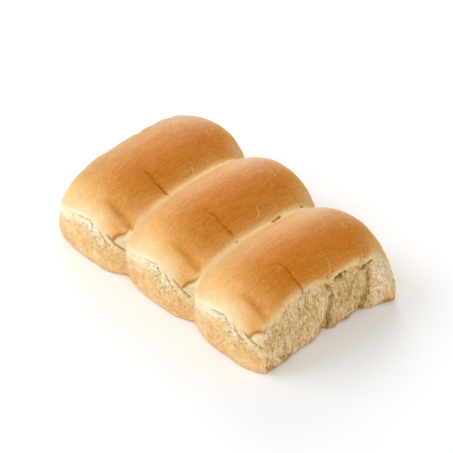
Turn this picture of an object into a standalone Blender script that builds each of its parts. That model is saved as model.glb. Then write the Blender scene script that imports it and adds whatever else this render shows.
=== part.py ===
"""Three soft bread rolls, baked side by side in a pan and pulled from a longer row as one piece.

The rolls lie along Y and the row runs along X, +Z up, in metres. Each roll has a domed top crust, a
near end (-Y) and a far end (+Y) that stood against the pan, and both sides of the row are torn crumb.
"""

import math

import bmesh
import bpy
import numpy as np
from mathutils import Vector, noise

# Driving dimensions
ROLL_SPACING = (0.0574, 0.0656)  # between the middles of neighbouring rolls
ROLL_SHIFT = (0.0, 0.0018, -0.0001)  # how far each roll sits along Y from its place in the row
ROLL_RISE = (-0.0017, 0.0, 0.0005)  # how much higher each roll has risen than the middle one
ROLL_SKEW = 0.0004  # how far each roll's far end lies towards +X of its near end, halved
CREST_DRIFT = (-0.0031, -0.0043)  # how far a crest moves towards +X over its near half and its far half, going +Y
ROLL_LENGTH = 0.1214
CREST_HEIGHT = 0.0546
SEAM_HEIGHT = 0.0433
OUTER_HALF_WIDTH = 0.0308  # from an outer roll's middle to its torn side
TEAR_PLACE = 0.957  # where the tear runs, as a share of the way to where the seam was

# Side view of a roll at its crest and at the seam: where the pan's wall ended, and how round the rest is
CREST_RIM = 0.0336
CREST_NEAR_POWER = 2.59
CREST_FAR_POWER = 2.43
CREST_TOP_POWER = 1.80
CREST_TUCK = 0.0009  # how far the foot lies inside the widest part of the end
SEAM_RIM = 0.0142
SEAM_NEAR_POWER = 3.22
SEAM_FAR_POWER = 3.79
SEAM_TOP_POWER = 2.43
SEAM_TUCK = 0.0003
SEAM_NEAR_INSET = 0.0092  # the seam's end lies this far behind the roll's own near end
SEAM_FAR_INSET = 0.0076
FAR_SLANT = 0.0004  # how much further each roll's far end reaches on its +X side
FAR_SHOULDER = 0.0007  # how far each roll's far end swells on its +X side, most at SHOULDER_PLACE across it
SHOULDER_PLACE = 0.24
SHOULDER_WIDTH = 0.37
FAR_DROOP = (0.0033, 0.0020, 0.0028)  # how much lower each roll lies towards its far end

# How a roll swells from seam to seam, in height and in plan
DOME_POWER = (2.55, 1.96)  # on the roll's -X and +X flank
DOME_ROOT = 1.07
PLAN_POWER = (2.70, 3.27)
PLAN_ROOT = 1.20

# Torn sides
TEAR_HOLLOW = 0.0044  # the middle of the torn side lies this far inside its corners
HOLLOW_PLACE = 0.12  # as a share of half the roll's length, and so is its width
HOLLOW_WIDTH = 0.55
HOLLOW_AT_CRUST = 0.35  # how much of the hollow is left at the crust's edge
FAR_LOBE = 0.0048  # the lump of crumb left at the far corner
LOBE_PLACE = 0.85
LOBE_WIDTH = 0.17
LOBE_LEVEL = 0.010
LOBE_HEIGHT = 0.020
TEAR_LEAN = 0.0051  # the torn side's foot stands this far outside its crust edge
GROOVES = ((0.0020, 0.0040), (0.0300, 0.0034), (-0.0280, 0.0012))  # place along Y at the foot, and depth
GROOVE_WIDTH = 0.0022
GROOVE_LEAN = 0.14  # how far a groove moves along Y for each unit of height
GROOVE_WANDER = 0.0013
GROOVE_WAVE = 210.0
FLAP_START = (-0.012, 0.006)  # along Y the crust's edge begins to lift, and is fully lifted
FLAP_END = (0.040, 0.050)
FLAP_DEPTH = 0.0036  # how far the crumb lies behind the lifted crust edge
FLAP_DROP = 0.0034  # how far below the crust edge it lies deepest
FLAP_WAVE = 430.0
FLAP_UNEVEN = 0.35
CRAG_HEIGHT = 0.0016
CRAG_SIZE = 0.0075
CRAG_STRETCH = 0.45  # crags are drawn out upwards
LEFT_SIDE_SHRINK = 0.97  # the hidden torn side uses the same relief, this much shorter

# Cracks and folds across each roll: place along Y, half width, depth, and where across the roll each runs
CREASES = (
    (-0.0180, 0.0015, 0.0013, 0.12, 0.86),
    (-0.0475, 0.0034, 0.0013, 0.32, 0.80),
    (0.0080, 0.0015, -0.0004, 0.42, 0.72),
    (0.0325, 0.0016, -0.0004, 0.52, 0.80),
)
CREASE_BEND = 0.0004
CREASE_FADE = 0.11

# The torn band above the pan's rim: its height at places across each roll, its depth and width
SHRED_ACROSS = (-1.0, -0.65, -0.37, -0.10, 0.25, 0.45, 0.90)
SHRED_LEVEL = (0.0170, 0.0225, 0.0270, 0.0290, 0.0280, 0.0240, 0.0190)
SHRED_DEPTH = 0.0012
SHRED_WIDTH = 0.0032
SHRED_UNEVEN = 0.3
SHRED_WAVE = 14.0
END_SHARE = 0.36  # further along the roll than this share of its length counts as its end

SWELL_HEIGHT = 0.0009  # slow unevenness of the whole skin
SWELL_SIZE = 0.034
SWELL_START = (0.004, 0.030)  # heights at which it sets in and is full

# Mesh divisions
CELLS_PER_ROLL = 22
TOP_CELLS = 42
SIDE_CELLS = 11

# For each torn side: its cut, its direction along X, its seed, and its share of the hollow
TORN_ENDS = ((-1, 1, 5, 1.0), (0, -1, 11, 0.4))

CRUST_COLOUR = (0.62, 0.33, 0.10, 1.0)
CRUST_ROUGHNESS = 0.5


def clear_scene():
    for obj in list(bpy.data.objects):
        bpy.data.objects.remove(obj, do_unlink=True)


def even_points(line, cells):
    """The line's points, spaced evenly along it."""
    steps = np.hypot(*np.diff(line, axis=0).T)
    run = np.concatenate([[0.0], np.cumsum(steps)])
    places = np.linspace(0.0, run[-1], cells + 1)
    return np.stack([np.interp(places, run, line[:, i]) for i in range(2)], axis=1)


def side_view(near, far, top, rim, near_power, far_power, top_power, tuck):
    """A roll's outline in Y and Z: up the near end, over the top, and down the far end."""
    turn = np.linspace(0.0, math.pi, 400)
    along, up = np.cos(turn), np.sin(turn)
    power = np.where(along > 0, near_power, far_power)
    reach = np.sign(along) * np.abs(along) ** (2 / power)
    over_y = (near + far) / 2 - (far - near) / 2 * reach
    over_z = rim + (top - rim) * up ** (2 / top_power)
    rise = np.linspace(0.0, 1.0, SIDE_CELLS + 1)
    foot = tuck * (1 - rise) ** 3
    near_side = np.stack([near + foot, rim * rise], axis=1)
    far_side = np.stack([far - foot, rim * rise], axis=1)[::-1]
    crown = even_points(np.stack([over_y, over_z], axis=1), TOP_CELLS)
    return np.concatenate([near_side[:-1], crown, far_side[1:]])


def skew(y):
    return ROLL_SKEW * y / (ROLL_LENGTH / 2)


def crest_view():
    half = ROLL_LENGTH / 2
    return side_view(
        -half, half, CREST_HEIGHT, CREST_RIM, CREST_NEAR_POWER, CREST_FAR_POWER, CREST_TOP_POWER, CREST_TUCK
    )


def seam_view():
    near = -ROLL_LENGTH / 2 + SEAM_NEAR_INSET
    far = ROLL_LENGTH / 2 - SEAM_FAR_INSET
    return side_view(
        near, far, SEAM_HEIGHT, SEAM_RIM, SEAM_NEAR_POWER, SEAM_FAR_POWER, SEAM_TOP_POWER, SEAM_TUCK
    )


def bump(value, place, width):
    """A smooth hill of height 1 at place."""
    return np.exp(-(((value - place) / width) ** 2))


def ease(value, start, end):
    """0 before start, 1 after end, and smooth between them."""
    share = np.clip((value - start) / (end - start), 0.0, 1.0)
    return share * share * (3 - 2 * share)


def grain(points, size, seed):
    """Smooth noise from -1 to 1 at each point; size is the width of its lumps."""
    offset = Vector((seed * 7.31, seed * 3.17, seed * 5.73))
    return np.array([noise.noise(Vector(p) / size + offset) for p in points])


def torn_side(y, z, seed, hollow):
    """How far out each point of a torn side stands from the plane of the tear."""
    share = y / (ROLL_LENGTH / 2)
    low = 1 - np.clip(z / SEAM_HEIGHT, 0.0, 1.0)
    below_crust = HOLLOW_AT_CRUST + (1 - HOLLOW_AT_CRUST) * low
    out = TEAR_LEAN * (low - 0.5)
    out -= hollow * TEAR_HOLLOW * bump(share, HOLLOW_PLACE, HOLLOW_WIDTH) * below_crust
    out += FAR_LOBE * bump(share, LOBE_PLACE, LOBE_WIDTH) * bump(z, LOBE_LEVEL, LOBE_HEIGHT)
    lean = GROOVE_LEAN * z + GROOVE_WANDER * np.sin(z * GROOVE_WAVE + seed)
    for place, depth in GROOVES:
        out -= depth * bump(y, place + lean, GROOVE_WIDTH) * below_crust
    stretched = np.stack([y, z * CRAG_STRETCH, y * 0], axis=1)
    out += CRAG_HEIGHT * grain(stretched, CRAG_SIZE, seed)
    out += 0.5 * CRAG_HEIGHT * grain(stretched, CRAG_SIZE / 2.6, seed + 4)
    return out


def under_flap(y, depth_below_crust, seed):
    """How far the crumb lies back below the lifted crust edge."""
    lifted = ease(y, *FLAP_START) * (1 - ease(y, *FLAP_END))
    ragged = 1 - FLAP_UNEVEN + FLAP_UNEVEN * np.sin(y * FLAP_WAVE + seed)
    return FLAP_DEPTH * lifted * ragged * bump(depth_below_crust, FLAP_DROP, FLAP_DROP * 0.7)


def roll_centres():
    left, right = ROLL_SPACING
    return (-left, 0.0, right)


def stations():
    """For each cross cut of the row: its X, its roll, and its place in that roll from -1 to 1."""
    centres = roll_centres()
    left_seam = (centres[0] + centres[1]) / 2
    right_seam = (centres[1] + centres[2]) / 2
    edges = (centres[0] - OUTER_HALF_WIDTH, left_seam, right_seam, centres[2] + OUTER_HALF_WIDTH)
    cuts = []
    for roll, centre in enumerate(centres):
        first = 0 if roll == 0 else 1
        for cell in range(first, CELLS_PER_ROLL + 1):
            across = math.sin((2 * cell / CELLS_PER_ROLL - 1) * math.pi / 2)
            side = roll if across < 0 else roll + 1
            x = centre + across * abs(edges[side] - centre)
            if side in (0, len(centres)):
                across *= TEAR_PLACE
            cuts.append((x, roll, across))
    return cuts


def crease_line(across, start, end):
    """1 between start and end across a roll, fading out at both."""
    begun = ease(across, start - CREASE_FADE, start + CREASE_FADE)
    return begun * (1 - ease(across, end - CREASE_FADE, end + CREASE_FADE))


def crust_relief(loop, across, roll):
    """How far the top skin sinks at each point of a cut: the cracks and folds that cross each roll."""
    bent = loop[:, 0] - ROLL_SHIFT[roll] + CREASE_BEND * math.sin(across * 5.0 + roll)
    sink = np.zeros(len(loop))
    for place, width, depth, start, end in CREASES:
        sink += depth * bump(bent, place, width) * crease_line(across, start, end)
    return sink * ease(loop[:, 1], CREST_RIM, CREST_RIM + 0.006)


def end_relief(loop, across, roll):
    """How far each end's skin sinks along the torn band above the pan's rim."""
    wide = SHRED_WIDTH * (1 + SHRED_UNEVEN * math.sin(across * SHRED_WAVE + roll))
    level = np.interp(across, SHRED_ACROSS, SHRED_LEVEL)
    ends = np.abs(loop[:, 0]) > ROLL_LENGTH * END_SHARE
    inward = -np.sign(loop[:, 0])
    return SHRED_DEPTH * bump(loop[:, 1], level, wide) * ends * inward


def cut_loop(across, roll, crest, seam):
    """The row's outline in Y and Z at one place across a roll."""
    away = abs(across)
    flank = int(across > 0)
    height = (1 - away ** DOME_POWER[flank]) ** (1 / DOME_ROOT)
    spread = (1 - away ** PLAN_POWER[flank]) ** (1 / PLAN_ROOT)
    raised = 1 + ROLL_RISE[roll] / CREST_HEIGHT
    loop = seam.copy()
    loop[:, 0] += (crest[:, 0] - seam[:, 0]) * spread
    loop[:, 1] += (crest[:, 1] * raised - seam[:, 1]) * height
    far = np.clip(loop[:, 0] / (ROLL_LENGTH / 2), 0.0, None) ** 2
    loop[:, 1] -= FAR_DROOP[roll] * far * np.clip(loop[:, 1] / CREST_HEIGHT, 0.0, 1.0)
    shoulder = FAR_SLANT * across + FAR_SHOULDER * bump(across, SHOULDER_PLACE, SHOULDER_WIDTH)
    loop[:, 0] += (1 - away**6) * (ROLL_SHIFT[roll] + shoulder * far)
    return loop


def shell_points():
    """Every point of the skin from one torn side to the other, cut by cut."""
    crest, seam = crest_view(), seam_view()
    rows = []
    for x, roll, across in stations():
        loop = cut_loop(across, roll, crest, seam)
        drift = np.where(loop[:, 0] < 0, *CREST_DRIFT) * (1 - across**2) * loop[:, 0] / (ROLL_LENGTH / 2)
        points = np.column_stack([x + skew(loop[:, 0]) + drift, loop])
        points[:, 1] += end_relief(loop, across, roll)
        points[:, 2] -= crust_relief(loop, across, roll)
        rows.append(points)
    shell = np.stack(rows)
    flat = shell.reshape(-1, 3)
    swell = SWELL_HEIGHT * grain(flat, SWELL_SIZE, 2)
    flat[:, 2] += swell * ease(flat[:, 2], *SWELL_START)
    return flat.reshape(shell.shape)


def lean_to_tear(shell):
    """Moves the outermost cuts so that the skin meets the uneven torn sides."""
    cuts = stations()
    for end, sign, seed, hollow in TORN_ENDS:
        edge = shell[end]
        y = edge[:, 1] if sign > 0 else edge[:, 1] * LEFT_SIDE_SHRINK
        offset = torn_side(y, edge[:, 2], seed, hollow) * sign
        for step in range(CELLS_PER_ROLL // 2):
            index = end - step if sign > 0 else end + step
            shell[index, :, 0] += offset * abs(cuts[index][2]) ** 3
    return shell


def torn_grid(edge, sign, seed, hollow):
    """The points of a torn side, in rows from the foot up, inside the outline that its skin gives."""
    near, far = edge[: SIDE_CELLS + 1], edge[-SIDE_CELLS - 1 :][::-1]
    top = edge[SIDE_CELLS : SIDE_CELLS + TOP_CELLS + 1]
    across = np.linspace(0, 1, TOP_CELLS + 1)[:, None]
    foot = near[0] * (1 - across) + far[0] * across
    rows = [foot]
    for level in range(1, SIDE_CELLS):
        t = level / SIDE_CELLS
        left, right = near[level], far[level]
        row = (1 - across) * left + across * right + (1 - t) * foot + t * top
        row -= (1 - t) * ((1 - across) * near[0] + across * far[0])
        row -= t * ((1 - across) * top[0] + across * top[-1])
        row[0], row[-1] = left, right
        rows.append(row)
    rows.append(top.copy())
    grid = np.stack(rows)
    inner = grid[:-1, 1:-1].reshape(-1, 3)
    crust = np.broadcast_to(top[None, 1:-1, 2], grid[:-1, 1:-1, 2].shape).reshape(-1)
    y = inner[:, 1] if sign > 0 else inner[:, 1] * LEFT_SIDE_SHRINK
    out = torn_side(y, inner[:, 2], seed, hollow) - under_flap(y, crust - inner[:, 2], seed)
    plane = roll_centres()[-1 if sign > 0 else 0] + sign * OUTER_HALF_WIDTH
    inner[:, 0] = plane + skew(inner[:, 1]) + sign * out
    grid[:-1, 1:-1] = inner.reshape(grid[:-1, 1:-1].shape)
    return grid


def add_strip(mesh, first, second):
    for i in range(len(first) - 1):
        mesh.faces.new((first[i], first[i + 1], second[i + 1], second[i]))


def build_loaf():
    shell = lean_to_tear(shell_points())
    mesh = bmesh.new()
    skin = [[mesh.verts.new(p) for p in row] for row in shell]
    for first, second in zip(skin, skin[1:]):
        add_strip(mesh, first, second)
    feet = []
    for end, sign, seed, hollow in TORN_ENDS:
        grid = torn_grid(shell[end], sign, seed, hollow)
        edge = skin[end]
        rows = []
        for level, row in enumerate(grid):
            if level == SIDE_CELLS:
                rows.append(edge[SIDE_CELLS : SIDE_CELLS + TOP_CELLS + 1])
                continue
            inner = [mesh.verts.new(p) for p in row[1:-1]]
            rows.append([edge[level], *inner, edge[-1 - level]])
        for first, second in zip(rows, rows[1:]):
            add_strip(mesh, first, second)
        feet.append(rows[0])
    right_foot, left_foot = feet
    near_line = [row[0] for row in skin[1:-1]]
    far_line = [row[-1] for row in skin[1:-1]]
    mesh.faces.new(left_foot[::-1] + near_line + right_foot + far_line[::-1])
    bmesh.ops.recalc_face_normals(mesh, faces=mesh.faces)
    return mesh


def rest_on_origin(mesh):
    """Puts the origin under the middle of the loaf's box, on the surface that it rests on."""
    points = np.array([v.co for v in mesh.verts])
    low, high = points.min(axis=0), points.max(axis=0)
    middle = (low + high) / 2
    bmesh.ops.translate(mesh, verts=mesh.verts, vec=(-middle[0], -middle[1], -low[2]))


def crust_material():
    material = bpy.data.materials.new("baked_crust")
    material.use_nodes = True
    shader = material.node_tree.nodes["Principled BSDF"]
    shader.inputs["Base Color"].default_value = CRUST_COLOUR
    shader.inputs["Roughness"].default_value = CRUST_ROUGHNESS
    shader.inputs["Metallic"].default_value = 0.0
    return material


def main():
    clear_scene()
    mesh = build_loaf()
    rest_on_origin(mesh)
    data = bpy.data.meshes.new("lard_bread")
    mesh.to_mesh(data)
    mesh.free()
    data.shade_smooth()
    data.set_sharp_from_angle(angle=math.radians(50))
    data.materials.append(crust_material())
    loaf = bpy.data.objects.new("lard_bread", data)
    bpy.context.scene.collection.objects.link(loaf)


main()
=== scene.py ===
"""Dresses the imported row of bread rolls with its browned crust, its pale pan-side ends and its torn crumb."""

import math

import bpy
import numpy as np
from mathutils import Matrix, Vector, noise


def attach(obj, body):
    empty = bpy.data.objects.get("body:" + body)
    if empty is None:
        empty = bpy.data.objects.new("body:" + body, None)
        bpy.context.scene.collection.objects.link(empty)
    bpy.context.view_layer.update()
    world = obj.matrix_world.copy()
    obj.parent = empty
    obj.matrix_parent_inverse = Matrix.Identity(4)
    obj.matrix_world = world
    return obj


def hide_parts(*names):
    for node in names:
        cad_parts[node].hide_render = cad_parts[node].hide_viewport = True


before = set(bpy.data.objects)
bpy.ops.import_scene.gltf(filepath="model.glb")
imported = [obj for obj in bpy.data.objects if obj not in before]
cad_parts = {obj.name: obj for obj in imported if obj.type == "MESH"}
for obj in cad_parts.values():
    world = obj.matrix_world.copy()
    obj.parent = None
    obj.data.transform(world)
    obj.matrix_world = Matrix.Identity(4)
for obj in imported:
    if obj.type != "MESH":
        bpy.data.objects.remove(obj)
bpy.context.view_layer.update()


# The view
# The rolls are seen over their near ends, from above, and from so far off that the row hardly tapers.
VIEW_AZIMUTH = math.radians(46.57)
VIEW_ELEVATION = math.radians(41.38)
VIEW_WIDTH = 0.2809
VIEW_DISTANCE = 12.0
VIEW_RIGHT = 0.0003
VIEW_UP = 0.0220
VIEW_REACH = 40.0

right = Vector((math.cos(VIEW_AZIMUTH), math.sin(VIEW_AZIMUTH), 0.0))
ahead = Vector((-math.sin(VIEW_AZIMUTH), math.cos(VIEW_AZIMUTH), 0.0))
straight_up = Vector((0.0, 0.0, 1.0))
up = ahead * math.sin(VIEW_ELEVATION) + straight_up * math.cos(VIEW_ELEVATION)
back = straight_up * math.sin(VIEW_ELEVATION) - ahead * math.cos(VIEW_ELEVATION)
aim = right * VIEW_RIGHT + up * VIEW_UP
turn = back.to_track_quat("Z", "Y").to_euler()
bpy.ops.object.camera_add(location=aim + back * VIEW_DISTANCE, rotation=turn)
camera = bpy.context.object
camera.name = "photo_view"
camera.data.lens = camera.data.sensor_width * VIEW_DISTANCE / VIEW_WIDTH
camera.data.clip_end = VIEW_REACH
bpy.context.scene.camera = camera
bpy.context.scene.view_settings.view_transform = "Standard"


# The table and the light
# A plain white table. A large soft lamp stands on the left, a weaker one behind it for the sheen on the
# crests, a wide weak one on the right, and pale light comes from all round.
TABLE_SIZE = 8.0
TABLE_WHITE = (0.98, 0.98, 0.98, 1.0)
TABLE_ROUGHNESS = 0.9
TABLE_GAP = 0.0002
ROOM_WHITE = (1.0, 1.0, 1.0, 1.0)
ROOM_STRENGTH = 0.58
# Each lamp's name, place, width in metres and power in watts
LAMPS = (
    ("soft_key", (-1.20, -0.95, 1.25), 1.6, 18.5),
    ("back_sheen", (-1.30, 1.05, 0.60), 1.2, 14.0),
    ("right_fill", (1.70, -1.00, 1.00), 2.6, 17.0),
)

bpy.ops.mesh.primitive_plane_add(size=TABLE_SIZE, location=(0, 0, -TABLE_GAP))
table = bpy.context.object
table.name = "table"
table_paint = bpy.data.materials.new("white_table")
table_paint.use_nodes = True
table_shader = table_paint.node_tree.nodes["Principled BSDF"]
table_shader.inputs["Base Color"].default_value = TABLE_WHITE
table_shader.inputs["Roughness"].default_value = TABLE_ROUGHNESS
table.data.materials.append(table_paint)

room = bpy.data.worlds.new("pale_room")
room.use_nodes = True
room.node_tree.nodes["Background"].inputs["Color"].default_value = ROOM_WHITE
room.node_tree.nodes["Background"].inputs["Strength"].default_value = ROOM_STRENGTH
bpy.context.scene.world = room

for lamp_name, place, width, power in LAMPS:
    lamp_turn = Vector(place).to_track_quat("Z", "Y").to_euler()
    bpy.ops.object.light_add(type="AREA", location=place, rotation=lamp_turn)
    lamp = bpy.context.object
    lamp.name = lamp_name
    lamp.data.shape = "DISK"
    lamp.data.size = width
    lamp.data.energy = power


# The loaf
# Three soft rolls in one piece of bread, risen together in a pan and pulled from a longer row. Their tops are
# browned, their ends stood against the pan and stayed pale, and both sides of the row are torn crumb.
LOAF_CELL = 0.00193
MERGE_GAP = 0.00001
SMOOTHING = 0.5
IRON_ROUNDS = 4
SPLIT_ROUNDS = 3

# The rolls along X, from left to right, and the seams between them
ROLL_MIDDLES = np.array((-0.0619, -0.0047, 0.0609))
ROLL_SHIFTS = np.array((0.0, 0.0019, -0.0001))
LEFT_HALVES = np.array((0.0329, 0.0286, 0.0328))
RIGHT_HALVES = np.array((0.0286, 0.0328, 0.0329))
SEAMS = (-0.0333, 0.0281)
HALF_LENGTH = 0.0609
CREST_DRIFT = -0.0033

# On a torn side, the height where the crust's skin ends and crumb begins, at places along Y
SKIN_END_Y = (-0.0560, -0.0540, -0.0511, -0.0432, -0.0337, -0.0206, -0.0108, -0.0046, 0.0000, 0.0030, 0.0056,
              0.0090, 0.0120, 0.0164, 0.0213, 0.0271, 0.0310, 0.0345, 0.0370, 0.0392, 0.0440, 0.0490, 0.0530)
SKIN_END_Z = (0.0200, 0.0235, 0.0299, 0.0349, 0.0393, 0.0418, 0.0409, 0.0408, 0.0392, 0.0368, 0.0345,
              0.0358, 0.0374, 0.0379, 0.0375, 0.0381, 0.0352, 0.0335, 0.0340, 0.0352, 0.0350, 0.0290, 0.0200)
TORN_NEAR, TORN_FAR = -0.0542, 0.0532
TORN_PLANE = 0.0835

# On an end, measured from the roll's middle: the skin's torn lip, and below it where the pale torn band ends
LIP_OUT = (-0.0330, -0.0294, -0.0199, -0.0101, -0.0034, 0.0019, 0.0055, 0.0085, 0.0107, 0.0122, 0.0150,
           0.0190, 0.0224, 0.0250, 0.0281, 0.0300, 0.0330)
LIP_Z = (0.0195, 0.0225, 0.0265, 0.0317, 0.0332, 0.0343, 0.0334, 0.0329, 0.0319, 0.0298, 0.0280, 0.0285,
         0.0267, 0.0240, 0.0210, 0.0192, 0.0180)
BAND_OUT = (-0.0330, -0.0293, -0.0206, -0.0111, -0.0035, 0.0020, 0.0041, 0.0075, 0.0124, 0.0170, 0.0211,
            0.0250, 0.0283, 0.0330)
BAND_Z = (0.0045, 0.0055, 0.0130, 0.0215, 0.0255, 0.0250, 0.0195, 0.0150, 0.0135, 0.0125, 0.0100, 0.0080,
          0.0050, 0.0040)

# The crack, wrinkles, dimple and fold of each roll's top, as lines of (distance from the roll's middle, Y)
CRACK = ((0.0021, -0.0186), (0.0070, -0.0190), (0.0122, -0.0174), (0.0182, -0.0186), (0.0237, -0.0180),
         (0.0299, -0.0176))
WRINKLE_A = ((0.0145, 0.0087), (0.0167, 0.0090), (0.0192, 0.0090), (0.0219, 0.0083), (0.0243, 0.0071),
             (0.0262, 0.0056))
WRINKLE_B = ((0.0166, 0.0360), (0.0193, 0.0359), (0.0221, 0.0351), (0.0254, 0.0337), (0.0286, 0.0313))
WRINKLE_C = ((0.0255, 0.0361), (0.0275, 0.0343), (0.0296, 0.0325))
DIMPLE = ((0.0089, -0.0484), (0.0142, -0.0487), (0.0192, -0.0487), (0.0245, -0.0482), (0.0280, -0.0476))
FOLD = ((0.0045, -0.0512), (0.0117, -0.0495), (0.0203, -0.0474))

# Pale specks on the far part of each crest, as (distance from the roll's middle, Y)
SPECKS = ((0.0044, 0.0377), (0.0063, 0.0388), (0.0026, 0.0392), (0.0022, 0.0452))

# Small cuts where two rolls pulled apart a little in the seam between them: how deep, and a line of (X, Y)
SEAM_CUTS = (
    (1.0, ((0.0291, 0.0122), (0.0286, 0.0144))),
    (1.0, ((0.0285, 0.0158), (0.0279, 0.0196))),
    (0.55, ((0.0280, -0.0175), (0.0278, -0.0167))),
    (0.8, ((0.0271, 0.0384), (0.0268, 0.0400))),
)

# The torn lip's cracks and pits, as (distance from the roll's middle, height)
LIP_CRACK_A = ((-0.0120, 0.0285), (-0.0067, 0.0311), (-0.0006, 0.0327), (0.0035, 0.0341), (0.0048, 0.0330),
               (0.0052, 0.0305), (0.0059, 0.0284))
LIP_CRACK_B = ((0.0125, 0.0314), (0.0129, 0.0272), (0.0155, 0.0249), (0.0175, 0.0233), (0.0187, 0.0222))
LIP_CRACK_C = ((0.0188, 0.0306), (0.0222, 0.0269), (0.0248, 0.0241), (0.0281, 0.0210), (0.0300, 0.0192))
END_PITS = ((-0.0228, 0.0166), (-0.0184, 0.0250), (-0.0132, 0.0270), (-0.0037, 0.0324), (0.0040, 0.0340),
            (0.0058, 0.0287), (0.0064, 0.0272), (0.0085, 0.0235), (0.0150, 0.0272), (0.0205, 0.0215),
            (0.0178, 0.0196), (-0.0060, 0.0285))

# A lifted flap's upper edge, as (distance from the roll's middle, Y), and how far it and the torn lip lie
# aside on each roll. The first roll's corner is a little narrower than the others.
FLAP_EDGE = ((0.0214, -0.0606), (0.0226, -0.0595), (0.0238, -0.0573), (0.0251, -0.0552), (0.0277, -0.0520),
             (0.0290, -0.0481))
FLAP_SHIFTS = np.array((-0.0002, 0.0024, 0.0))
LIP_SHIFTS = np.array((0.0, 0.0009, -0.0018))
CORNER_STRETCH = np.array((1.08, 1.0, 1.0))
CORNER_START = (0.014, 0.020)

cad_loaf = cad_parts["lard_bread"]
bpy.ops.object.select_all(action="DESELECT")
loaf = bpy.data.objects.new("loaf", cad_loaf.data.copy())
bpy.context.scene.collection.objects.link(loaf)
bpy.context.view_layer.objects.active = loaf
loaf.select_set(True)
bpy.ops.object.mode_set(mode="EDIT")
bpy.ops.mesh.select_all(action="SELECT")
bpy.ops.mesh.remove_doubles(threshold=MERGE_GAP)
bpy.ops.object.mode_set(mode="OBJECT")
remesh = loaf.modifiers.new("fine_cells", "REMESH")
remesh.mode = "VOXEL"
remesh.voxel_size = LOAF_CELL
remesh.use_smooth_shade = True
bpy.ops.object.modifier_apply(modifier=remesh.name)
iron = loaf.modifiers.new("iron_out", "SMOOTH")
iron.factor = SMOOTHING
iron.iterations = IRON_ROUNDS
bpy.ops.object.modifier_apply(modifier=iron.name)


def rows_of(mesh_items, what):
    """A place or a direction of each point or face of a mesh, one row each."""
    flat = np.empty(len(mesh_items) * 3)
    mesh_items.foreach_get(what, flat)
    return flat.reshape(-1, 3)


def ease(value, start, end):
    """0 before start, 1 after end, and smooth between them."""
    share = np.clip((value - start) / (end - start), 0.0, 1.0)
    return share * share * (3 - 2 * share)


def hill(value, width, place=0.0):
    """A smooth hill of height 1 at place."""
    return np.exp(-(((value - place) / width) ** 2))


# How far each seed moves the noise along X, Y and Z, so that no two patterns are alike
SEED_STEPS = (7.31, 3.17, 5.73)


def grain(points, size, seed, stretch=(1.0, 1.0, 1.0)):
    """Smooth noise from -1 to 1 at each point. size is the width of its lumps."""
    shift = Vector([seed * step for step in SEED_STEPS])
    return np.array([noise.noise(Vector(p) / size + shift) for p in points * stretch])


def rough(points, coats):
    """Noise of several coats added up, each given as (height, width of its lumps, seed)."""
    return sum(height * grain(points, size, seed) for height, size, seed in coats)


def gap_to(across, along, line):
    """How far each point lies from a line, and how far along it the nearest place is, from 0 to 1."""
    nearest = np.full(len(across), 1.0)
    share = np.zeros(len(across))
    for step, ((a, b), (c, d)) in enumerate(zip(line, line[1:])):
        run = (c - a, d - b)
        part = ((across - a) * run[0] + (along - b) * run[1]) / (run[0] ** 2 + run[1] ** 2)
        part = np.clip(part, 0.0, 1.0)
        gap = np.hypot(across - a - part * run[0], along - b - part * run[1])
        share = np.where(gap < nearest, (step + part) / (len(line) - 1), share)
        nearest = np.minimum(gap, nearest)
    return nearest, share


def height_on(value, line):
    """The second number of a line's places, at values of the first."""
    return np.interp(value, [place[0] for place in line], [place[1] for place in line])


def roll_numbers(points):
    """The roll that each point belongs to: 0, 1 or 2."""
    return (points[:, 0] > SEAMS[0]).astype(int) + (points[:, 0] > SEAMS[1])


def roll_places(points):
    """For each point: its distance along X from its roll's middle, its place across the roll from -1 to 1,
    and its place along the roll."""
    x, y = points[:, 0], points[:, 1]
    roll = roll_numbers(points)
    out = x - ROLL_MIDDLES[roll]
    half = np.where(out < 0, LEFT_HALVES[roll], RIGHT_HALVES[roll])
    drift = CREST_DRIFT * y / HALF_LENGTH * (1 - np.clip(np.abs(out / half), 0.0, 1.0) ** 2)
    return out, np.clip((out - drift) / half, -1.0, 1.0), y - ROLL_SHIFTS[roll]


def end_places(points):
    """For each point, its distance from its roll's middle as three things have it: the torn lip, the corner
    crack with the band below it, and the lifted flap."""
    roll = roll_numbers(points)
    out = points[:, 0] - ROLL_MIDDLES[roll]
    corner = out * CORNER_STRETCH[roll]
    by_corner = ease(out, *CORNER_START)
    lip_out = (out - LIP_SHIFTS[roll]) * (1 - by_corner) + corner * by_corner
    return lip_out, corner, corner - FLAP_SHIFTS[roll]


# Where the mesh is made finer: the first split goes a little farther round each mark than the second
FIRST_TEAR, SECOND_TEAR = 0.0015, 0.0008
FIRST_END, SECOND_END = 0.0012, 0.0006
FIRST_CRACK, SECOND_CRACK = 0.0009, 0.0
END_Y = 0.0475
PAN_TOP = 0.034
TOP_LOW = 0.034
FLAP_LOW = 0.0255
FLAP_BACK = -0.046
CRACK_REACH = 0.0015
WRINKLE_REACH = 0.0013
SPECK_REACH = 0.0010
SEAM_CUT_REACH = 0.0014
FLAP_REACH = 0.0013


def in_tear(points, more):
    """True for the points of a torn side and what lies within more of it."""
    x, y, z = points.T
    inside = (y > TORN_NEAR - more) & (y < TORN_FAR + more) & (np.abs(x) > TORN_PLANE)
    return inside & (z < np.interp(y, SKIN_END_Y, SKIN_END_Z) + more)


def on_end(points, more):
    """True for the points of an end's torn band and what lies within more of it."""
    lip_out = end_places(points)[0]
    y, z = points[:, 1], points[:, 2]
    low = np.interp(lip_out, BAND_OUT, BAND_Z) - more
    high = np.interp(lip_out, LIP_OUT, LIP_Z) + more
    return (np.abs(y) > END_Y) & (z > low) & (z < high) & ~in_tear(points, 0.0)


def on_pan_side(points):
    """True for the points of a near end, all the way down."""
    return (points[:, 1] < -END_Y) & (points[:, 2] < PAN_TOP) & ~in_tear(points, 0.0)


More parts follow.
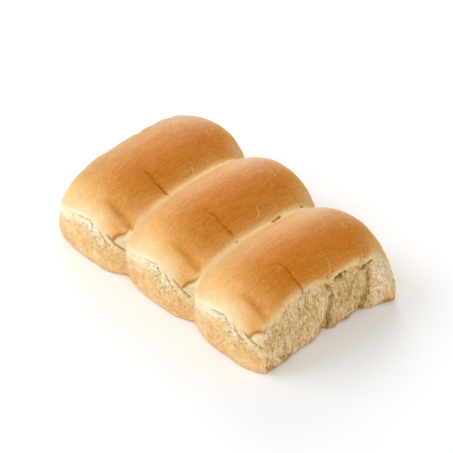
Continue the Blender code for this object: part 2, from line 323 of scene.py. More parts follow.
def near_cracks(points, more):
    """True near the thin cracks and wrinkles that cross the rolls' tops, and on the lifted corner flaps."""
    out, _, along = roll_places(points)
    close = gap_to(out, along, CRACK)[0] < CRACK_REACH + more
    for line in (WRINKLE_A, WRINKLE_B, WRINKLE_C):
        close |= gap_to(out, along, line)[0] < WRINKLE_REACH + more
    for speck_out, speck_y in SPECKS:
        close |= np.hypot(out - speck_out, along - speck_y) < SPECK_REACH + more
    for deep, line in SEAM_CUTS:
        close |= gap_to(points[:, 0], points[:, 1], line)[0] < SEAM_CUT_REACH + more
    close &= points[:, 2] > TOP_LOW
    flap_out = end_places(points)[2]
    flap = (gap_to(flap_out, along, FLAP_EDGE)[0] < FLAP_REACH + more) & (points[:, 2] > FLAP_LOW)
    return close | (flap & (along < FLAP_BACK))


def split_faces(mesh_object, wanted):
    """Divides each face whose middle is wanted into four."""
    mesh = mesh_object.data
    chosen = wanted(rows_of(mesh.polygons, "center"))
    bpy.ops.object.mode_set(mode="EDIT")
    bpy.ops.mesh.select_mode(type="FACE")
    bpy.ops.mesh.select_all(action="DESELECT")
    bpy.ops.object.mode_set(mode="OBJECT")
    mesh.polygons.foreach_set("select", chosen)
    bpy.ops.object.mode_set(mode="EDIT")
    bpy.ops.mesh.subdivide(number_cuts=1)
    bpy.ops.mesh.vertices_smooth(factor=SMOOTHING, repeat=SPLIT_ROUNDS)
    bpy.ops.object.mode_set(mode="OBJECT")


split_faces(loaf, lambda p: in_tear(p, FIRST_TEAR))
split_faces(loaf, lambda p: on_end(p, FIRST_END) | on_pan_side(p) | near_cracks(p, FIRST_CRACK))
split_faces(loaf, lambda p: in_tear(p, SECOND_TEAR) & (p[:, 0] > 0))
split_faces(loaf, lambda p: (on_end(p, SECOND_END) & (p[:, 1] < 0)) | near_cracks(p, SECOND_CRACK))

# Where things are on the loaf, as shares that fade from one part to the next
TOP_FADE = (0.030, 0.036)
END_FADE = (0.046, 0.050)
SHOWN_FADE = (0.0, 0.001)

points = rows_of(loaf.data.vertices, "co")
normals = rows_of(loaf.data.vertices, "normal")
x, y, z = points.T
nothing = np.zeros(len(points))
out, across, along = roll_places(points)
lip_out, corner_out, flap_out = end_places(points)
top = ease(z, *TOP_FADE)
near_end = ease(-y, *END_FADE)
an_end = ease(np.abs(y), *END_FADE)
shown_side = ease(x, *SHOWN_FADE)

# The torn sides: the crust's skin ends at a ragged edge, and below it the crumb was pulled apart
SKIN_END_ROUGH = ((0.0010, 0.0034, 2), (0.0006, 0.0013, 4))
SKIN_END_FADE = (-0.0003, 0.0008)
TORN_DEPTH = 0.001
TORN_END_FADE = 0.0006

skin_ragged = rough(points, SKIN_END_ROUGH)
below_skin = np.interp(y, SKIN_END_Y, SKIN_END_Z) + skin_ragged - z
torn = ease(below_skin, *SKIN_END_FADE) * ease(np.abs(x), TORN_PLANE - TORN_DEPTH, TORN_PLANE)
torn *= ease(y + skin_ragged, TORN_NEAR, TORN_NEAR + TORN_END_FADE)
torn *= ease(TORN_FAR - y + skin_ragged, 0.0, TORN_END_FADE)

# The crumb: fibres run up the side, a little aslant, between tufts and small holes
FIBRE_SWAY = ((0.0010, 0.0070, 6),)
FIBRE_SLANT = 0.16
FIBRE_SQUEEZE = 0.38
SIDES_APART = 3.0
FLECK = (0.00072, 3)
STRAND = (0.0018, 5)
TUFT = (0.0060, 8, (1.0, 1.0, 0.6))
HOLE = (0.0017, 9, (1.0, 1.0, 0.55))
HOLE_OPEN = (0.26, 0.50)
LOBE_START = (0.034, 0.040)
FLECK_HEIGHT = 0.00022
STRAND_HEIGHT = 0.00026
TUFT_HEIGHT = 0.0008
HOLE_DEPTH = 0.0005

sway = rough(points, FIBRE_SWAY)
fibre_run = np.stack([np.sign(x) * SIDES_APART, y + FIBRE_SLANT * z + sway, z * FIBRE_SQUEEZE], axis=1)
fleck = grain(fibre_run, *FLECK)
strand = grain(fibre_run, *STRAND)
tuft = grain(points, *TUFT)
holes = ease(grain(points, *HOLE), *HOLE_OPEN)
lobe = ease(y, *LOBE_START)
crumb_relief = FLECK_HEIGHT * fleck + STRAND_HEIGHT * strand + TUFT_HEIGHT * tuft - HOLE_DEPTH * holes

# The crumb's grooves, the gaps under its lifted skin, and the cuts at its foot, as lines of (Y, Z)
GROOVE_A = ((0.0048, 0.0336), (0.0067, 0.0272), (0.0060, 0.0212), (0.0048, 0.0136), (0.0034, 0.0057),
            (0.0012, 0.0))
GROOVE_B = ((0.0357, 0.0300), (0.0351, 0.0256), (0.0353, 0.0188), (0.0340, 0.0125), (0.0309, 0.0071),
            (0.0281, 0.0))
FURROW = ((0.0305, 0.0330), (0.0271, 0.0298), (0.0221, 0.0247), (0.0205, 0.0202), (0.0190, 0.0150))
GAP_A = ((0.0107, 0.0349), (0.0120, 0.0352), (0.0146, 0.0353), (0.0158, 0.0374), (0.0173, 0.0377),
         (0.0190, 0.0372), (0.0208, 0.0382))
GAP_B = ((0.0322, 0.0312), (0.0336, 0.0321), (0.0345, 0.0327), (0.0359, 0.0334), (0.0378, 0.0340),
         (0.0397, 0.0343))
FOOT_CUTS = (((-0.0531, 0.0052), (-0.0500, 0.0033), (-0.0462, 0.0016)),
             ((-0.0419, 0.0069), (-0.0378, 0.0049), (-0.0341, 0.0032)),
             ((-0.0046, 0.0064), (-0.0016, 0.0067), (0.0027, 0.0054)))
# Each groove's line, strength and half width, and each gap's line and half width
GROOVES = ((GROOVE_A, 0.9, 0.0014), (GROOVE_B, 0.85, 0.0011), (FURROW, 0.5, 0.0012))
GAPS = ((GAP_A, 0.0012), (GAP_B, 0.0008))
GROOVE_WANDER, GAP_WANDER, FOOT_WANDER = 0.0006, 0.0005, 0.0006
GROOVE_FLARE = 0.0010
FLARE_TOP = 0.020
FOOT_CUT_HALF = 0.0012
BREAK = (0.0020, 10)
BREAK_FADE = (-0.35, 0.05)
FAR_GAP_Y = 0.025
SMEAR, SMEAR_HALF = (0.0149, 0.0352), 0.0023
POCKET, POCKET_HALF, POCKET_SQUASH = (0.0341, 0.0310), 0.0022, 0.8
LIP_SHADE_HALF, LIP_SHADE_PLACE = 0.0012, 0.0012
LIP_SHADE_Y = (-0.010, 0.000)
FOOT_CUT_DEPTH = 0.0005
GROOVE_DEPTH = 0.0009
GAP_DEPTH = 0.0010
POCKET_DEPTH = 0.0007
LIP_SHADE_DEPTH = 0.0006

groove = nothing
for line, strength, half in GROOVES:
    gap = gap_to(y, z, line)[0] + GROOVE_WANDER * strand
    flared_half = half + GROOVE_FLARE * (1 - ease(z, 0.0, FLARE_TOP))
    groove = np.maximum(groove, strength * hill(gap, flared_half))
broken = ease(grain(points, *BREAK), *BREAK_FADE)
skin_gap = nothing
for line, half in GAPS:
    gap = gap_to(y, z, line)[0] + GAP_WANDER * fleck
    whole = np.where(y < FAR_GAP_Y, broken, 1.0)
    skin_gap = np.maximum(skin_gap, hill(gap, half) * whole * shown_side)
foot_cuts = nothing
for line in FOOT_CUTS:
    gap = gap_to(y, z, line)[0] + FOOT_WANDER * fleck
    foot_cuts = np.maximum(foot_cuts, hill(gap, FOOT_CUT_HALF) * broken * shown_side)
smear = hill(np.hypot(y - SMEAR[0], z - SMEAR[1]), SMEAR_HALF) * shown_side
pocket_gap = np.hypot(y - POCKET[0], (z - POCKET[1]) * POCKET_SQUASH)
skin_pocket = hill(pocket_gap, POCKET_HALF) * shown_side
lip_shade = hill(below_skin, LIP_SHADE_HALF, LIP_SHADE_PLACE) * ease(y, *LIP_SHADE_Y)
crumb_relief -= FOOT_CUT_DEPTH * foot_cuts
crumb_relief -= (GROOVE_DEPTH * groove + GAP_DEPTH * skin_gap + POCKET_DEPTH * skin_pocket
                 + LIP_SHADE_DEPTH * lip_shade)

# The ends: below a ragged lip the skin tore in a pale band of plates, shreds and thin veins
LIP_ROUGH = ((0.0006, 0.0026, 11), (0.0004, 0.0011, 12))
BAND_END_COARSE = (0.0022, 0.0050, 13)
BAND_END_FINE = (0.0010, 0.0020, 18)
BAND_TOP_FADE = (-0.0001, 0.0006)
BAND_END_FADE = (-0.0055, 0.0045)
PLATE = (0.0028, 14, (1.0, 1.0, 1.2))
SHRED = (0.0010, 15)
VEIN = (0.0024, 24, (1.0, 1.0, 1.1))
VEIN_HALF = 0.09
VEIN_BREAK = (0.0045, 25)
VEIN_FADE = (-0.15, 0.25)
CALM_RIGHT, CALM_RIGHT_SHARE = (0.013, 0.019), 0.65
CALM_LEFT, CALM_LEFT_SHARE = (-0.013, -0.003), 0.45
BAND_SINK = -0.0006
PLATE_HEIGHT = 0.0009
SHRED_HEIGHT = 0.0008
VEIN_DEPTH = 0.0006

lip = np.interp(lip_out, LIP_OUT, LIP_Z)
band_end = np.interp(lip_out, BAND_OUT, BAND_Z)
below_lip = (lip + rough(points, LIP_ROUGH) - z) * an_end
above_band_end = z - band_end + rough(points, (BAND_END_COARSE,)) + rough(points, (BAND_END_FINE,))
band = ease(below_lip, *BAND_TOP_FADE) * ease(above_band_end, *BAND_END_FADE) * an_end * (1 - torn)
rough_part = 1 - CALM_RIGHT_SHARE * ease(lip_out, *CALM_RIGHT)
rough_part = rough_part * (CALM_LEFT_SHARE + (1 - CALM_LEFT_SHARE) * ease(lip_out, *CALM_LEFT))
plates = grain(points, *PLATE)
shreds = np.abs(grain(points, *SHRED))
veins = hill(grain(points, *VEIN), VEIN_HALF) * ease(grain(points, *VEIN_BREAK), *VEIN_FADE) * rough_part
band_height = BAND_SINK + PLATE_HEIGHT * plates + SHRED_HEIGHT * shreds - VEIN_DEPTH * veins
band_relief = band * rough_part * band_height

# The lip's cracks and pits
CRACK_BREAK = (0.0030, 20)
CRACK_BREAK_FADE = (-0.30, 0.15)
CRACK_LEAST, STEADY_LEAST = 0.35, 0.85
CRACK_ROUGH = ((0.0003, 0.0012, 16),)
CRACK_OPENS = (0.05, 0.15)
CRACK_CLOSES = (0.93, 1.0)
PIT_HALF = 0.0006
PIT_WANDER = 0.0003
PIT_SQUASH = 1.3
LIP_CRACK_DEPTH = 0.0008
PIT_DEPTH = 0.0011

patchy = CRACK_LEAST + (1 - CRACK_LEAST) * ease(grain(points, *CRACK_BREAK), *CRACK_BREAK_FADE)
hardly_patchy = STEADY_LEAST + (1 - STEADY_LEAST) * patchy
# Each crack's line, the distances that place it, its half width, the share of its length where it starts to
# open, and how little of it is broken off
lip_cracks = (
    (LIP_CRACK_A, lip_out, 0.00065, 0.1, patchy),
    (LIP_CRACK_B, lip_out, 0.00075, 0.0, hardly_patchy),
    (LIP_CRACK_C, corner_out, 0.00072, 0.0, hardly_patchy),
)
crack_wander = rough(points, CRACK_ROUGH)
cracks = nothing
for line, place, half, start, unbroken in lip_cracks:
    gap, share = gap_to(place, z, line)
    opened = ease(share, start - CRACK_OPENS[0], start + CRACK_OPENS[1]) * (1 - ease(share, *CRACK_CLOSES))
    cracks = np.maximum(cracks, hill(gap + crack_wander, half) * an_end * opened * unbroken)
pits = nothing
for pit_out, pit_z in END_PITS:
    gap = np.hypot(lip_out - pit_out, (z - pit_z) * PIT_SQUASH)
    pits = np.maximum(pits, hill(gap + PIT_WANDER * shreds, PIT_HALF) * an_end)

# The flap at each near right corner: its edge stands up a little along a curved line above the corner crack
FLAP_LINE_MIDDLE, FLAP_LINE_SPREAD = 0.45, 0.55
FLAP_LINE_LOW = (0.0255, 0.0270)
FLAP_LINE_START = (0.0210, 0.0220)
FLAP_STEP = 0.0004
FLAP_STEP_HALF = 0.0010
FLAP_FADE = (0.0, 0.0006)
FLAP_START = (0.0200, 0.0215)
FLAP_FOOT = (0.0185, 0.0200)

edge_gap, edge_share = gap_to(flap_out, along, FLAP_EDGE)
above_edge = along - height_on(flap_out, FLAP_EDGE)
flap_line = near_end * hill(edge_share, FLAP_LINE_SPREAD, FLAP_LINE_MIDDLE)
flap_line = flap_line * ease(z, *FLAP_LINE_LOW) * ease(flap_out, *FLAP_LINE_START)
flap_relief = hill(edge_gap, FLAP_STEP_HALF) * flap_line * np.where(above_edge > 0, FLAP_STEP, -FLAP_STEP)
flap = ease(-above_edge, *FLAP_FADE) * ease(z - height_on(corner_out, LIP_CRACK_C), *FLAP_FADE)
flap *= ease(corner_out, *FLAP_START) * near_end * ease(z, *FLAP_FOOT) * (1 - torn)
end_relief = band_relief + flap_relief - LIP_CRACK_DEPTH * cracks - PIT_DEPTH * pits

# The tops: one crack across each roll, fine raised wrinkles with a crease beside them, a soft dimple and a
# fold by the near end, pale specks by the far end, and the small cuts in a seam
TOP_CRACK_ROUGH = ((0.0003, 0.0020, 17),)
TOP_CRACK_OPENS = (0.0, 0.40)
TOP_CRACK_CLOSES = (0.90, 1.0)
TOP_CRACK_HALF = 0.00075
TOP_CRACK_DEPTH, TOP_CRACK_SLOPE = 0.0006, 0.0013
TOP_CRACK_RIM, RIM_HALF, RIM_PLACE = 0.00015, 0.0010, 0.0024
# Each wrinkle's line and strength
WRINKLES = ((WRINKLE_A, 1.0), (WRINKLE_B, 0.6), (WRINKLE_C, 0.5))
WRINKLE_HALF, WRINKLE_HEIGHT = 0.00045, 0.00035
WRINKLE_START = (0.0, 0.15)
WRINKLE_SWELL = (0.30, 0.85)
WRINKLE_THIN = 0.35
CREASE_ASIDE, CREASE_HALF, CREASE_DEPTH = 0.0008, 0.00055, 0.00020
DIMPLE_HALF, DIMPLE_DEPTH, DIMPLE_SHALLOW = 0.0020, 0.0014, 0.4
FOLD_HALF, FOLD_DEPTH = 0.0016, 0.0003
SPECK_HALF, SPECK_HEIGHT, SPECK_SQUASH = 0.00055, 0.0001, 0.8
SEAM_CUT_ROUGH = (0.0011, 19)
SEAM_CUT_WANDER, SEAM_CUT_HALF, SEAM_CUT_DEPTH = 0.0003, 0.00065, 0.0014
SKIN_ROUGH = ((0.00018, 0.0075, 21), (0.00008, 0.0030, 22))

crack_gap, crack_share = gap_to(out, along, CRACK)
open_crack = ease(crack_share, *TOP_CRACK_OPENS) * (1 - ease(crack_share, *TOP_CRACK_CLOSES)) * top
crack = hill(crack_gap + rough(points, TOP_CRACK_ROUGH), TOP_CRACK_HALF) * open_crack
crack_rim = TOP_CRACK_RIM * hill(crack_gap, RIM_HALF, RIM_PLACE)
top_relief = (-TOP_CRACK_DEPTH * hill(crack_gap, TOP_CRACK_SLOPE) + crack_rim) * open_crack
wrinkles, creases = nothing, nothing
for line, strength in WRINKLES:
    gap, share = gap_to(out, along, line)
    ridge = hill(gap, WRINKLE_HALF) * (WRINKLE_THIN + (1 - WRINKLE_THIN) * ease(share, *WRINKLE_SWELL))
    crease = hill(gap_to(out + CREASE_ASIDE, along, line)[0], CREASE_HALF)
    wrinkles = np.maximum(wrinkles, strength * ridge * ease(share, *WRINKLE_START) * top)
    creases = np.maximum(creases, strength * crease * ease(share, *WRINKLE_START) * top)
dimple_gap, dimple_share = gap_to(out, along, DIMPLE)
dimple = hill(dimple_gap, DIMPLE_HALF) * (DIMPLE_SHALLOW + (1 - DIMPLE_SHALLOW) * dimple_share) * top
fold = hill(gap_to(out, along, FOLD)[0], FOLD_HALF) * top
seam_cut_wander = SEAM_CUT_WANDER * np.abs(grain(points, *SEAM_CUT_ROUGH))
seam_cuts = nothing
for deep, line in SEAM_CUTS:
    gap = gap_to(x, y, line)[0] + seam_cut_wander
    seam_cuts = np.maximum(seam_cuts, deep * hill(gap, SEAM_CUT_HALF) * top)
specks = nothing
for speck_out, speck_y in SPECKS:
    gap = np.hypot(out - speck_out, (along - speck_y) * SPECK_SQUASH)
    specks = np.maximum(specks, hill(gap, SPECK_HALF) * top)
top_relief += WRINKLE_HEIGHT * wrinkles - CREASE_DEPTH * creases
top_relief -= DIMPLE_DEPTH * dimple + FOLD_DEPTH * fold
top_relief += SPECK_HEIGHT * specks - SEAM_CUT_DEPTH * seam_cuts
skin_unevenness = rough(points, SKIN_ROUGH)

# All the relief is laid on at once, and none on the flat underside
UNDERSIDE_FADE = (0.0002, 0.0012)
move = torn * crumb_relief + (1 - torn) * (end_relief + top_relief + skin_unevenness)
move *= ease(z, *UNDERSIDE_FADE)
points = points + normals * move[:, None]
loaf.data.vertices.foreach_set("co", points.ravel())
loaf.data.update()


def steps_colour(value, steps):
    """The colour at each value, from steps of (value, colour)."""
    at = [step[0] for step in steps]
    return np.stack([np.interp(value, at, [step[1][i] for step in steps]) for i in range(3)], axis=1)


def tint(base, colour, share):
    """The base colours, moved towards one colour, or one for each point, by each point's share."""
    return base + (np.asarray(colour) - base) * np.clip(share, 0.0, 1.0)[:, None]


def painted(base, coats):
    """The base colours under several coats, each given as (colour, strength, where)."""
    for colour, strength, where in coats:
        base = tint(base, colour, strength * where)
    return base


def even(colour):
    """One colour at every point."""
    return np.tile(colour, (len(points), 1))


# The crust's browning: strongest on the crests and right of them, and fading to the seams and the near end
CRUST_STEPS = (
    (0.00, (0.87, 0.71, 0.43)),
    (0.20, (0.84, 0.57, 0.262)),
    (0.40, (0.79, 0.425, 0.132)),
    (0.60, (0.68, 0.302, 0.062)),
    (0.80, (0.60, 0.228, 0.028)),
    (1.00, (0.545, 0.170, 0.007)),
)
BROWN_ACROSS = (
    (-1.0, -0.93, -0.75, -0.55, -0.35, -0.12, 0.12, 0.35, 0.60, 0.73, 0.86, 0.96, 1.0),
    (0.36, 0.52, 0.66, 0.75, 0.82, 0.91, 1.02, 1.03, 0.98, 0.86, 0.68, 0.46, 0.36),
)
BROWN_ALONG = (
    (-0.0620, -0.0595, -0.0545, -0.0490, -0.0420, -0.0330, -0.0230, 0.0350, 0.0450, 0.0530, 0.0620),
    (0.02, 0.13, 0.34, 0.48, 0.65, 0.87, 1.0, 0.98, 0.85, 0.67, 0.45),
)
BROWN_SLOW = ((0.05, 0.017, 31),)
BROWN_QUICK = ((0.045, 0.0055, 32),)
DIMPLE_PAINTED_SHADE, FOLD_PAINTED_SHADE, FLAP_BROWNING = 0.30, 0.10, 0.20
BY_FLAP = (0.013, 0.026)
BY_NEAR_END = (0.050, 0.056)
BY_FLAP_EDGE = (-0.0004, 0.0)

brown = np.interp(across, *BROWN_ACROSS) * np.interp(along, *BROWN_ALONG)
brown = brown + rough(points, BROWN_SLOW) + rough(points, BROWN_QUICK)
# Painted shade in the dimple and the fold, laid on as deeper browning
brown = brown + DIMPLE_PAINTED_SHADE * dimple + FOLD_PAINTED_SHADE * fold
by_flap = ease(out, *BY_FLAP) * ease(-along, *BY_NEAR_END) * ease(above_edge, *BY_FLAP_EDGE)
brown = brown + FLAP_BROWNING * by_flap
colour = steps_colour(brown, CRUST_STEPS)

# The crust's paler places and its painted light: painted sheen on the left flanks, painted shade on the first
# roll's, the pale seams painted lit and shaded, the far corners and the skin that hangs over the crumb
LEFT_SHEEN_PAINT = (0.59, 0.43, 0.205)
FLANK_SHEEN = (0.575, 0.49, 0.33)
# The pale seam crust, in a painted lit copy and a painted shaded copy
SEAM_LIT = (0.74, 0.49, 0.24)
SEAM_SHADED = (0.76, 0.54, 0.27)
FAR_CORNER = (0.74, 0.48, 0.20)
SKIN_EDGE = (0.76, 0.55, 0.27)
LEFT_SHEEN_ACROSS = ((-1.0, -0.93, -0.75, -0.55, -0.30, -0.10), (0.55, 0.50, 0.36, 0.14, 0.04, 0.0))
PAST_NEAR_END = (-0.052, -0.036)
SHEEN_PLACE, SHEEN_SPREAD, SHEEN_ALONG = -0.62, 0.34, (0.014, 0.046)
LEFT_ROLL_SHADE = 0.13
LEFT_ROLL_ACROSS, LEFT_ROLL_ALONG = (0.30, 0.70), (-0.056, -0.036)
SEAM_ALONG = (-0.050, -0.040)
SEAM_LIT_ACROSS = (0.80, 0.97)
LAST_ROLL_ACROSS, ROLL_RIGHT_ACROSS = (0.78, 0.97), (0.87, 1.0)
ROLL_RIGHT_SHARE, LEFT_ROLL_LESS = 0.75, 0.50
FAR_ACROSS, FAR_ALONG = (0.35, 0.85), (0.036, 0.054)
HANG_X, HANG_BELOW, HANG_Z = (0.0800, 0.0840), (-0.0060, -0.0012), (0.012, 0.020)

left_roll = (x < SEAMS[0]).astype(float)
# Painted sheen and painted light: the left flanks past the near end are paler and whiter, with more sheen on
# their far part
left_sheen = np.interp(across, *LEFT_SHEEN_ACROSS) * ease(along, *PAST_NEAR_END)
flank_sheen = hill(across, SHEEN_SPREAD, SHEEN_PLACE) * ease(along, *SHEEN_ALONG)
colour = painted(colour, ((LEFT_SHEEN_PAINT, 1.0, left_sheen), (FLANK_SHEEN, 0.55, flank_sheen)))
# Painted shade on the first roll's left flank, past the near end
left_shade = LEFT_ROLL_SHADE * left_roll * ease(-across, *LEFT_ROLL_ACROSS) * ease(along, *LEFT_ROLL_ALONG)
colour = colour * (1 - left_shade)[:, None]
# Painted light on the pale seam crust at each roll's left edge, painted shade at its right edge and above the
# last roll's torn side
left_seam = ease(along, *SEAM_ALONG) * np.where(across < 0, ease(-across, *SEAM_LIT_ACROSS), 0.0)
roll_right = ease(across, *ROLL_RIGHT_ACROSS) * (ROLL_RIGHT_SHARE - LEFT_ROLL_LESS * left_roll)
right_side = np.where(x > SEAMS[1], ease(across, *LAST_ROLL_ACROSS), roll_right) * ease(along, *SEAM_ALONG)
far_corner = ease(across, *FAR_ACROSS) * ease(along, *FAR_ALONG)
skin_hang = ease(np.abs(x), *HANG_X) * ease(below_skin, *HANG_BELOW) * ease(z, *HANG_Z)

# The marks of the tops, with painted shade round each crack, beside the wrinkles and in the seam cuts, and the
# pale skin just above the torn lip
CRACK_BROWN = (0.40, 0.13, 0.005)
WRINKLE_PALE = (0.84, 0.55, 0.20)
SPECK_PALE = (0.92, 0.78, 0.52)
SEAM_DARK = (0.12, 0.055, 0.010)
LIP_PALE = (0.94, 0.86, 0.58)
CRACK_HALO = 0.0016
CRACK_LINE_SHARE, CRACK_HALO_SHADE = 0.85, 0.20
OVER_LIP = (0.0008, 0.0048)
OVER_LIP_ACROSS = (-0.10, 0.30)

# The crack's dark line, and painted shade of the soft fold round it
crack_line_and_fold_shade = CRACK_LINE_SHARE * crack + CRACK_HALO_SHADE * hill(crack_gap, CRACK_HALO) * open_crack
over_lip = (1 - ease(z - lip, *OVER_LIP)) * an_end * (1 - ease(across, *OVER_LIP_ACROSS))
colour = painted(colour, (
    (SEAM_LIT, 1.0, left_seam),
    (SEAM_SHADED, 1.0, right_side),
    (FAR_CORNER, 0.65, far_corner),
    (SKIN_EDGE, 0.9, skin_hang),
    (WRINKLE_PALE, 0.75, wrinkles),
    # painted shade in the crease beside each wrinkle
    (CRACK_BROWN, 0.50, creases),
    (CRACK_BROWN, 1.0, crack_line_and_fold_shade),
    # painted shade inside the seam cuts
    (SEAM_DARK, 0.95, seam_cuts),
    (SPECK_PALE, 0.35, specks),
    (LIP_PALE, 0.75, over_lip),
))

# The ends' colours: tan and orange where they stood against the pan, cream and tan in the torn band, and
# painted shade on the corner flaps
PAN_SIDE_TAN = (0.84, 0.58, 0.27)
PAN_SIDE_ORANGE = (0.76, 0.42, 0.145)
BAND_CREAM = (0.97, 0.92, 0.69)
BAND_TAN = (0.77, 0.51, 0.215)
LIP_BROWN = (0.37, 0.17, 0.025)
FLAP_CREAM = (0.92, 0.74, 0.41)
FLAP_SHADE = (0.72, 0.56, 0.32)
PIT_BROWN = (0.24, 0.13, 0.032)
PAN_MOTTLE_COARSE = (0.75, 0.0060, 33)
PAN_MOTTLE_FINE = (0.15, 0.0016, 34)
PAN_MOTTLE_MEAN, PAN_MOTTLE_SHARE = 0.5, 0.75
BELOW_LIP = (0.0, 0.0008)
CREAM_MOST = 0.86
CREAM_BY_PLATE, CREAM_BY_SHRED, SHRED_MEAN = 0.45, 1.1, 0.22
# Where the band's cream fades, as (strength, start, end): down from the lip, and twice towards the right
CREAM_FADE_DOWN = (0.62, 0.0030, 0.0100)
CREAM_FADES_RIGHT = ((0.30, 0.011, 0.018), (0.25, 0.022, 0.028))
DOT = (0.0012, 26)
DOT_FADE = (0.34, 0.50)
DOT_START = (-0.004, 0.004)
VEIN_STAIN, DOT_STAIN = 0.70, 0.40
FLAP_SHADE_OUT, FLAP_SHADE_Z = (0.0245, 0.0285), (0.0265, 0.0290)
FLAP_LINE_HALF = 0.00065

mottle = PAN_MOTTLE_MEAN + rough(points, (PAN_MOTTLE_COARSE,)) + rough(points, (PAN_MOTTLE_FINE,))
pan_side = tint(even(PAN_SIDE_TAN), PAN_SIDE_ORANGE, PAN_MOTTLE_SHARE * mottle)
below = ease(below_lip, *BELOW_LIP) * an_end
cream = CREAM_MOST + rough_part * (CREAM_BY_PLATE * plates + CREAM_BY_SHRED * (shreds - SHRED_MEAN))
strength, start, end = CREAM_FADE_DOWN
cream = cream - strength * ease(below_lip, start, end)
for strength, start, end in CREAM_FADES_RIGHT:
    cream = cream - strength * ease(lip_out, start, end)
dots = ease(grain(points, *DOT), *DOT_FADE) * ease(lip_out, *DOT_START)
shred_colour = tint(even(BAND_TAN), BAND_CREAM, cream)
shred_colour = tint(shred_colour, LIP_BROWN, VEIN_STAIN * veins + DOT_STAIN * dots)
flap_shade = flap * ease(corner_out, *FLAP_SHADE_OUT) * (1 - ease(z, *FLAP_SHADE_Z))
colour = painted(colour, (
    (pan_side, 1.0, below),
    (shred_colour, 1.0, band),
    (FLAP_CREAM, 0.9, flap),
    # painted shade on the flap's lower right part
    (FLAP_SHADE, 0.65, flap_shade),
    # a painted shadow line under the flap's raised edge
    (CRACK_BROWN, 0.85, hill(edge_gap, FLAP_LINE_HALF) * flap_line),
    (LIP_BROWN, 0.95, cracks),
    (PIT_BROWN, 1.0, pits),
))

# The crumb's colours: cream tufts and brown hollows, olive in patches, paler on the far lobe, and olive with
# painted shade in the grooves, with painted shade in the gaps and pocket under the lifted skin and along the
# foot
CRUMB_STEPS = (
    (-0.50, (0.36, 0.20, 0.065)),
    (-0.20, (0.58, 0.37, 0.155)),
    (0.08, (0.73, 0.520, 0.268)),
    (0.45, (0.81, 0.640, 0.405)),
)
CRUMB_OLIVE = (0.48, 0.31, 0.095)
LOBE_CRUMB = (0.80, 0.66, 0.42)
GROOVE_OLIVE = (0.34, 0.19, 0.042)
POCKET_OCHRE = (0.50, 0.29, 0.055)
DEEP_BROWN = (0.17, 0.060, 0.002)
SMEAR_BROWN = (0.40, 0.17, 0.045)
GAP_OCHRE = (0.23, 0.13, 0.012)
FOOT_OLIVE = (0.30, 0.19, 0.06)
FOOT_OCHRE = (0.66, 0.42, 0.13)
BASE_BROWN = (0.50, 0.24, 0.070)
FLECK_SHARE, STRAND_SHARE, TUFT_SHARE = 0.42, 0.28, 0.22
OLIVE_PATCH = (0.0045, 35, (1.0, 1.0, 0.7))
OLIVE_FADE = (0.05, 0.45)
OLIVE_SIDE = (0.004, 0.010)
DARK_FLECK = (0.15, 0.35)
FOOT_CUT_SHADE, GROOVE_FLECK_SHADE = 0.55, 0.3
GAP_FADE = (0.15, 0.55)
FOOT_FADE, FOOT_PATCH, FOOT_BY_STRAND = (0.0010, 0.0040), (-0.15, 0.25), 0.6
FAR_FOOT_Y, FAR_FOOT_OCHRE_Z, FAR_FOOT_BROWN_Z = (0.0385, 0.0460), (0.006, 0.010), (0.0025, 0.0050)
UNDERSIDE_TURN, UNDERSIDE_Z = (0.4, 0.8), (0.0010, 0.0025)

patch = grain(points, *OLIVE_PATCH)
deep_gap = ease(skin_gap, *GAP_FADE)
# Painted shade in patches along the foot, short of the far lobe
near_foot = (1 - ease(z, *FOOT_FADE)) * ease(patch + FOOT_BY_STRAND * strand, *FOOT_PATCH) * (1 - lobe)
far_foot = ease(y, *FAR_FOOT_Y)
# Painted shade in the foot cuts and on dark flecks in the grooves
deep_shade = FOOT_CUT_SHADE * foot_cuts + GROOVE_FLECK_SHADE * groove * ease(-fleck, *DARK_FLECK)
crumb_tone = FLECK_SHARE * fleck + STRAND_SHARE * strand + TUFT_SHARE * tuft
crumb_colour = painted(steps_colour(crumb_tone, CRUMB_STEPS), (
    (CRUMB_OLIVE, 0.35, ease(patch, *OLIVE_FADE)),
    (CRUMB_OLIVE, 0.30, ease(y, *OLIVE_SIDE) * (1 - lobe)),
    (LOBE_CRUMB, 0.45, lobe),
    (PIT_BROWN, 0.30, holes),
    # olive and painted shade in the grooves and the furrow
    (GROOVE_OLIVE, 0.92, groove),
    (DEEP_BROWN, 1.0, deep_shade),
    (SMEAR_BROWN, 0.85, smear),
    # painted shadow in the pocket under the lifted skin
    (POCKET_OCHRE, 0.85, skin_pocket),
    # painted shade in the gaps under the lifted skin, deep brown near and ochre far
    (DEEP_BROWN, 0.9, deep_gap * (y < FAR_GAP_Y)),
    (GAP_OCHRE, 0.9, deep_gap * (y > FAR_GAP_Y)),
    (FOOT_OLIVE, 0.65, near_foot),
    (FOOT_OCHRE, 0.75, (1 - ease(z, *FAR_FOOT_OCHRE_Z)) * far_foot),
    (BASE_BROWN, 0.90, (1 - ease(z, *FAR_FOOT_BROWN_Z)) * far_foot),
))
underside = ease(-normals[:, 2], *UNDERSIDE_TURN) * (1 - ease(z, *UNDERSIDE_Z))
colour = painted(colour, ((crumb_colour, 1.0, torn), (BASE_BROWN, 1.0, underside)))

# What the material reads at each point: the colour, and how far it is crumb, matte or against the pan
DULL_ACROSS, DULL_ALONG = (0.05, 0.40), (0.010, 0.035)
EDGE_MARK_HALF = 0.0006
BAND_CRUMB, HANG_CRUMB = 0.7, 0.5
HANG_MATTE, FLANK_MATTE, EDGE_MATTE = 0.6, 0.5, 0.8
BAND_COVERS_PAN_SIDE = 0.8


def store_number(name, values):
    """Keeps one number for each of the loaf's points."""
    numbers = loaf.data.attributes.new(name, "FLOAT", "POINT")
    numbers.data.foreach_set("value", values.astype(np.float32))


